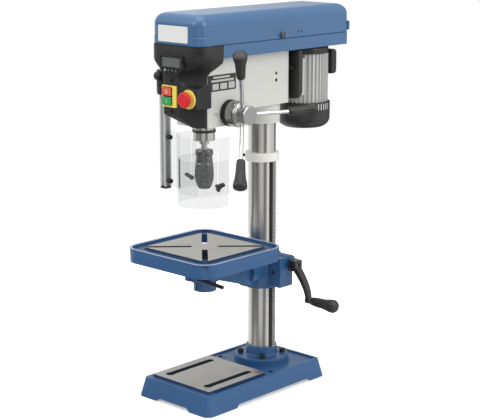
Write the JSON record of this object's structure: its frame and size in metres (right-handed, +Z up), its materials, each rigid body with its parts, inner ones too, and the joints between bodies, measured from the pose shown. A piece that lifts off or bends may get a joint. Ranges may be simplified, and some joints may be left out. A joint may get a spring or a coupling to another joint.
{
  "type": "bench pillar drill",
  "caption": "Bench pillar drill with a stepped-pulley head, lever quill feed, rack-lifted tilting table and a clear chuck guard.",
  "frame": {"origin": "midway between the two bench holes, on the bench plane", "axes": "+X to the operator's right, -Y to the front where the operator stands, +Z up along the column"},
  "size_m": [0.4034, 0.6245, 1.011],
  "materials": {
    "blue_paint": "semi-gloss enamel over castings and sheet",
    "grey_paint": "satin off-white enamel",
    "black_plastic": "fine-grained black plastic",
    "black_metal": "satin black paint or oxide",
    "polished_steel": "ground and polished steel",
    "chrome_steel": "bright chrome",
    "scale_metal": "satin aluminium with a printed scale",
    "dark_steel": "satin blued steel",
    "jaw_steel": "hardened steel",
    "cast_aluminium": "cast and extruded aluminium",
    "belt_rubber": "ribbed black rubber",
    "yellow_plastic": "glossy yellow plastic",
    "red_plastic": "glossy red plastic",
    "green_plastic": "glossy green plastic",
    "key_rubber": "grey silicone",
    "clear_plastic": "clear polycarbonate sheet"
  },
  "bodies": {
    "stand": {"base": "blue_paint", "column_flange": "blue_paint", "flange_bolts": "black_metal", "set_screws": "black_metal", "column": "polished_steel", "rack_collar": "grey_paint", "head_casting": "grey_paint", "front_cover": "black_plastic", "cover_screws": "black_metal", "depth_readout": "black_plastic", "switch_plate": "yellow_plastic", "estop_base": "yellow_plastic", "belt_pan": "blue_paint", "spring_can": "black_metal", "guard_bracket": "black_metal", "spindle_belt": "belt_rubber", "motor_belt": "belt_rubber"},
    "rack": {"column_rack": "polished_steel"},
    "arm": {"table_arm": "blue_paint", "tilt_bolt": "polished_steel"},
    "lock": {"arm_lock_lever": "black_metal"},
    "pinion": {"lift_pinion": "polished_steel"},
    "crank": {"worm_shaft": "polished_steel", "crank_arm": "black_metal"},
    "crank_handle": {"crank_grip": "black_plastic"},
    "bracket": {"table_bracket": "blue_paint"},
    "clamp": {"table_clamp_lever": "black_metal"},
    "table": {"table": "blue_paint"},
    "quill": {"quill": "polished_steel"},
    "feed": {"feed_hub": "chrome_steel", "scale_ring": "scale_metal", "lever_rods": "chrome_steel", "lever_grips": "black_plastic"},
    "spindle": {"spindle": "polished_steel", "chuck_body": "dark_steel"},
    "chuck": {"chuck_sleeve": "dark_steel"},
    "jaw_1": {"chuck_jaw_1": "jaw_steel"},
    "jaw_2": {"chuck_jaw_2": "jaw_steel"},
    "jaw_3": {"chuck_jaw_3": "jaw_steel"},
    "spindle_drive": {"spindle_pulley": "cast_aluminium"},
    "idler": {"idler_pulley": "cast_aluminium"},
    "motor": {"motor_body": "cast_aluminium", "fan_cover": "black_metal", "motor_plate": "black_metal", "terminal_box": "black_plastic"},
    "motor_drive": {"motor_pulley": "cast_aluminium"},
    "lid": {"belt_lid": "blue_paint"},
    "latch": {"lid_latch": "black_plastic"},
    "start": {"start_button": "green_plastic"},
    "stop": {"stop_button": "red_plastic"},
    "estop": {"estop_button": "red_plastic"},
    "keys": {"readout_keypad": "key_rubber"},
    "swivel": {"guard_swivel": "black_metal"},
    "knob": {"guard_knob": "black_plastic"},
    "guard": {"guard_profile": "cast_aluminium", "profile_cap": "black_plastic", "upper_shield": "clear_plastic", "shield_screws": "black_metal"},
    "visor": {"lower_shield": "clear_plastic", "wing_screws": "black_plastic"}
  },
  "joints": [
    {"name": "table_swing", "type": "hinge", "parent": "stand", "child": "rack", "pos_m": [0, 0.065, 0.3], "axis": [0, 0, 1], "range_deg": [-180, 180]},
    {"name": "table_lift", "type": "slide", "parent": "rack", "child": "arm", "axis": [0, 0, -1], "range_m": [-0.11, 0.15]},
    {"name": "arm_lock", "type": "hinge", "parent": "arm", "child": "lock", "pos_m": [-0.06, 0.065, 0.285], "axis": [1, 0, 0], "range_deg": [-60, 30]},
    {"name": "pinion_turn", "type": "hinge", "parent": "arm", "child": "pinion", "pos_m": [0.0634, 0.065, 0.30917], "axis": [0, 1, 0], "range_deg": [-360, 490]},
    {"name": "crank_turn", "type": "hinge", "parent": "arm", "child": "crank", "pos_m": [0.1, 0.079, 0.33017], "axis": [1, 0, 0], "range_deg": [-3600, 4900]},
    {"name": "crank_grip_spin", "type": "hinge", "parent": "crank", "child": "crank_handle", "pos_m": [0.2, 0.079, 0.24217], "axis": [1, 0, 0], "continuous": true},
    {"name": "table_tilt", "type": "hinge", "parent": "arm", "child": "bracket", "pos_m": [0, -0.01, 0.312], "axis": [0, 1, 0], "range_deg": [-45, 45]},
    {"name": "table_clamp", "type": "hinge", "parent": "bracket", "child": "clamp", "pos_m": [0.027, -0.1985, 0.33], "axis": [1, 0, 0], "range_deg": [-150, 0]},
    {"name": "table_turn", "type": "hinge", "parent": "bracket", "child": "table", "pos_m": [0, -0.1545, 0.35], "axis": [0, 0, 1], "range_deg": [-30, 30]},
    {"name": "quill_slide", "type": "slide", "parent": "stand", "child": "quill", "axis": [0, 0, -1], "range_m": [0, 0.08], "stiffness_N_per_m": 260, "springref_m": -0.35},
    {"name": "feed_turn", "type": "hinge", "parent": "stand", "child": "feed", "pos_m": [0.1, -0.1205, 0.758], "axis": [1, 0, 0], "range_deg": [0, 420]},
    {"name": "spindle_spin", "type": "hinge", "parent": "quill", "child": "spindle", "pos_m": [0, -0.1545, 0.7], "axis": [0, 0, 1], "continuous": true},
    {"name": "chuck_turn", "type": "hinge", "parent": "spindle", "child": "chuck", "pos_m": [0, -0.1545, 0.6], "axis": [0, 0, 1], "range_deg": [0, 300]},
    {"name": "jaw_1_slide", "type": "slide", "parent": "spindle", "child": "jaw_1", "axis": [-0.3873, -0.2236, -0.8944], "range_m": [0, 0.0068]},
    {"name": "jaw_2_slide", "type": "slide", "parent": "spindle", "child": "jaw_2", "axis": [0.3873, -0.2236, -0.8944], "range_m": [0, 0.0068]},
    {"name": "jaw_3_slide", "type": "slide", "parent": "spindle", "child": "jaw_3", "axis": [0, 0.4472, -0.8944], "range_m": [0, 0.0068]},
    {"name": "spindle_pulley_spin", "type": "hinge", "parent": "stand", "child": "spindle_drive", "pos_m": [0, -0.1545, 0.93], "axis": [0, 0, 1], "continuous": true},
    {"name": "idler_spin", "type": "hinge", "parent": "stand", "child": "idler", "pos_m": [0, 0.007, 0.93], "axis": [0, 0, 1], "continuous": true},
    {"name": "motor_slide", "type": "slide", "parent": "stand", "child": "motor", "axis": [0, 1, 0], "range_m": [-0.006, 0.006], "deforming": ["motor_belt"]},
    {"name": "motor_spin", "type": "hinge", "parent": "motor", "child": "motor_drive", "pos_m": [0, 0.233, 0.9], "axis": [0, 0, 1], "continuous": true},
    {"name": "lid_hinge", "type": "hinge", "parent": "stand", "child": "lid", "pos_m": [-0.094, 0.05, 0.934], "axis": [0, -1, 0], "range_deg": [0, 100]},
    {"name": "lid_latch_turn", "type": "hinge", "parent": "lid", "child": "latch", "pos_m": [0.086, 0.043, 0.945], "axis": [1, 0, 0], "range_deg": [-90, 0]},
    {"name": "start_press", "type": "slide", "parent": "stand", "child": "start", "axis": [0, 1, 0], "range_m": [0, 0.003], "stiffness_N_per_m": 1200},
    {"name": "stop_press", "type": "slide", "parent": "stand", "child": "stop", "axis": [0, 1, 0], "range_m": [0, 0.003], "stiffness_N_per_m": 1200},
    {"name": "estop_press", "type": "slide", "parent": "stand", "child": "estop", "axis": [0, 1, 0], "range_m": [0, 0.004]},
    {"name": "key_press", "type": "slide", "parent": "stand", "child": "keys", "axis": [0, 1, 0], "range_m": [0, 0.0008], "stiffness_N_per_m": 1500},
    {"name": "guard_swing", "type": "hinge", "parent": "stand", "child": "swivel", "pos_m": [-0.125, -0.1715, 0.8], "axis": [0, 0, -1], "range_deg": [0, 110]},
    {"name": "guard_knob_turn", "type": "hinge", "parent": "swivel", "child": "knob", "pos_m": [-0.125, -0.2015, 0.843], "axis": [0, 1, 0], "continuous": true},
    {"name": "guard_height", "type": "slide", "parent": "swivel", "child": "guard", "axis": [0, 0, -1], "range_m": [-0.015, 0.04]},
    {"name": "visor_height", "type": "slide", "parent": "guard", "child": "visor", "axis": [0, 0, -1], "range_m": [-0.06, 0.008]}
  ],
  "couplings": [
    {"joint": "pinion_turn", "follows": "table_lift", "rad_per_m": 55.556},
    {"joint": "crank_turn", "follows": "table_lift", "rad_per_m": 555.56},
    {"joint": "feed_turn", "follows": "quill_slide", "rad_per_m": 88.889},
    {"joint": "idler_spin", "follows": "motor_spin", "ratio": 0.80392},
    {"joint": "spindle_pulley_spin", "follows": "motor_spin", "ratio": 0.64629},
    {"joint": "spindle_spin", "follows": "motor_spin", "ratio": 0.64629},
    {"joint": "jaw_1_slide", "follows": "chuck_turn", "m_per_rad": 0.00128},
    {"joint": "jaw_2_slide", "follows": "chuck_turn", "m_per_rad": 0.00128},
    {"joint": "jaw_3_slide", "follows": "chuck_turn", "m_per_rad": 0.00128}
  ]
}
